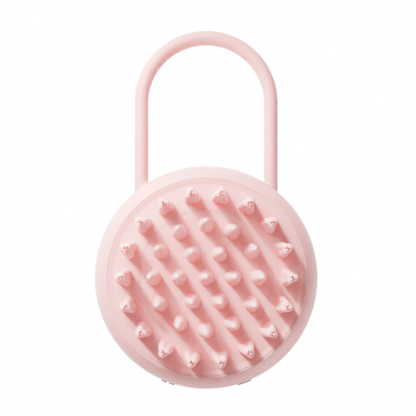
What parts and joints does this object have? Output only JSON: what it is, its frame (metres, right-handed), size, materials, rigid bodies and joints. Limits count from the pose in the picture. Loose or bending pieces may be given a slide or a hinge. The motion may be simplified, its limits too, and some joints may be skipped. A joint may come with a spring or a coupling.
{
  "type": "sonic cleansing brush",
  "caption": "Round hand-held cleansing brush with a silicone bristle face, a swinging centre disc, side buttons and a loop handle, lying on its flat back.",
  "frame": {"origin": "centre of the flat back, on the axis of the round body", "axes": "+Z out of the bristle face, +Y towards the loop handle, +X to the right as the face is seen with the loop up"},
  "size_m": [0.086, 0.1394, 0.0425],
  "materials": {
    "pink_shell": "soft-touch, pale pink",
    "pink_loop": "soft-touch, pale pink",
    "pink_silicone": "smooth translucent silicone, pale pink",
    "pink_keys": "smooth silicone, deeper pink",
    "seal_rubber": "moulded, dark grey",
    "screw_steel": "plain steel",
    "motor_steel": "drawn sheet",
    "bush_brass": "sintered",
    "coil_copper": "enamelled copper winding",
    "magnet_metal": "nickel plated",
    "cell_wrap": "shrink wrap, plain",
    "foam_grey": "closed-cell foam",
    "inner_plastic": "moulded, off-white",
    "lead_cover": "insulated lead",
    "board_green": "plain solder mask",
    "chip_black": "moulded",
    "socket_white": "moulded",
    "contact_gold": "gold plated"
  },
  "bodies": {
    "case": {"rear_shell": "pink_shell", "front_shell": "pink_shell", "loop_handle": "pink_loop", "bristle_ring": "pink_silicone", "leg_grommets": "pink_silicone", "case_gasket": "seal_rubber", "motor_sleeve": "seal_rubber", "motor_cushion": "seal_rubber", "shaft_seal": "seal_rubber", "case_screws": "screw_steel", "bracket_screws": "screw_steel", "board_screws": "screw_steel", "handle_pins": "screw_steel", "motor_can": "motor_steel", "motor_lid": "motor_steel", "motor_bushes": "bush_brass", "stator_coil": "coil_copper", "dock_magnets": "magnet_metal", "battery_cell": "cell_wrap", "battery_pad": "foam_grey", "battery_bracket": "inner_plastic", "battery_leads": "lead_cover", "motor_leads": "lead_cover", "circuit_board": "board_green", "control_chip": "chip_black", "battery_socket": "socket_white", "motor_socket": "socket_white", "power_switch": "chip_black", "plus_switch": "chip_black", "minus_switch": "chip_black", "charge_pins": "contact_gold"},
    "head": {"motor_shaft": "screw_steel", "rotor_magnet": "magnet_metal", "drive_plate": "inner_plastic", "hub_screw": "screw_steel", "bristle_disc": "pink_silicone"},
    "power_key": {"power_button": "pink_keys", "power_plunger": "socket_white"},
    "plus_key": {"plus_button": "pink_keys", "plus_plunger": "socket_white"},
    "minus_key": {"minus_button": "pink_keys", "minus_plunger": "socket_white"}
  },
  "joints": [
    {"name": "head_swing", "type": "hinge", "parent": "case", "child": "head", "pos_m": [0, 0, 0], "axis": [0, 0, 1], "range_deg": [-5, 5], "stiffness_Nm_per_rad": 0.05},
    {"name": "power_press", "type": "slide", "parent": "case", "child": "power_key", "axis": [-0.342, 0.9397, 0], "range_m": [0, 0.0005], "stiffness_N_per_m": 1200},
    {"name": "plus_press", "type": "slide", "parent": "case", "child": "plus_key", "axis": [0.342, 0.9397, 0], "range_m": [0, 0.0005], "stiffness_N_per_m": 1200},
    {"name": "minus_press", "type": "slide", "parent": "case", "child": "minus_key", "axis": [0.342, 0.9397, 0], "range_m": [0, 0.0005], "stiffness_N_per_m": 1200}
  ]
}
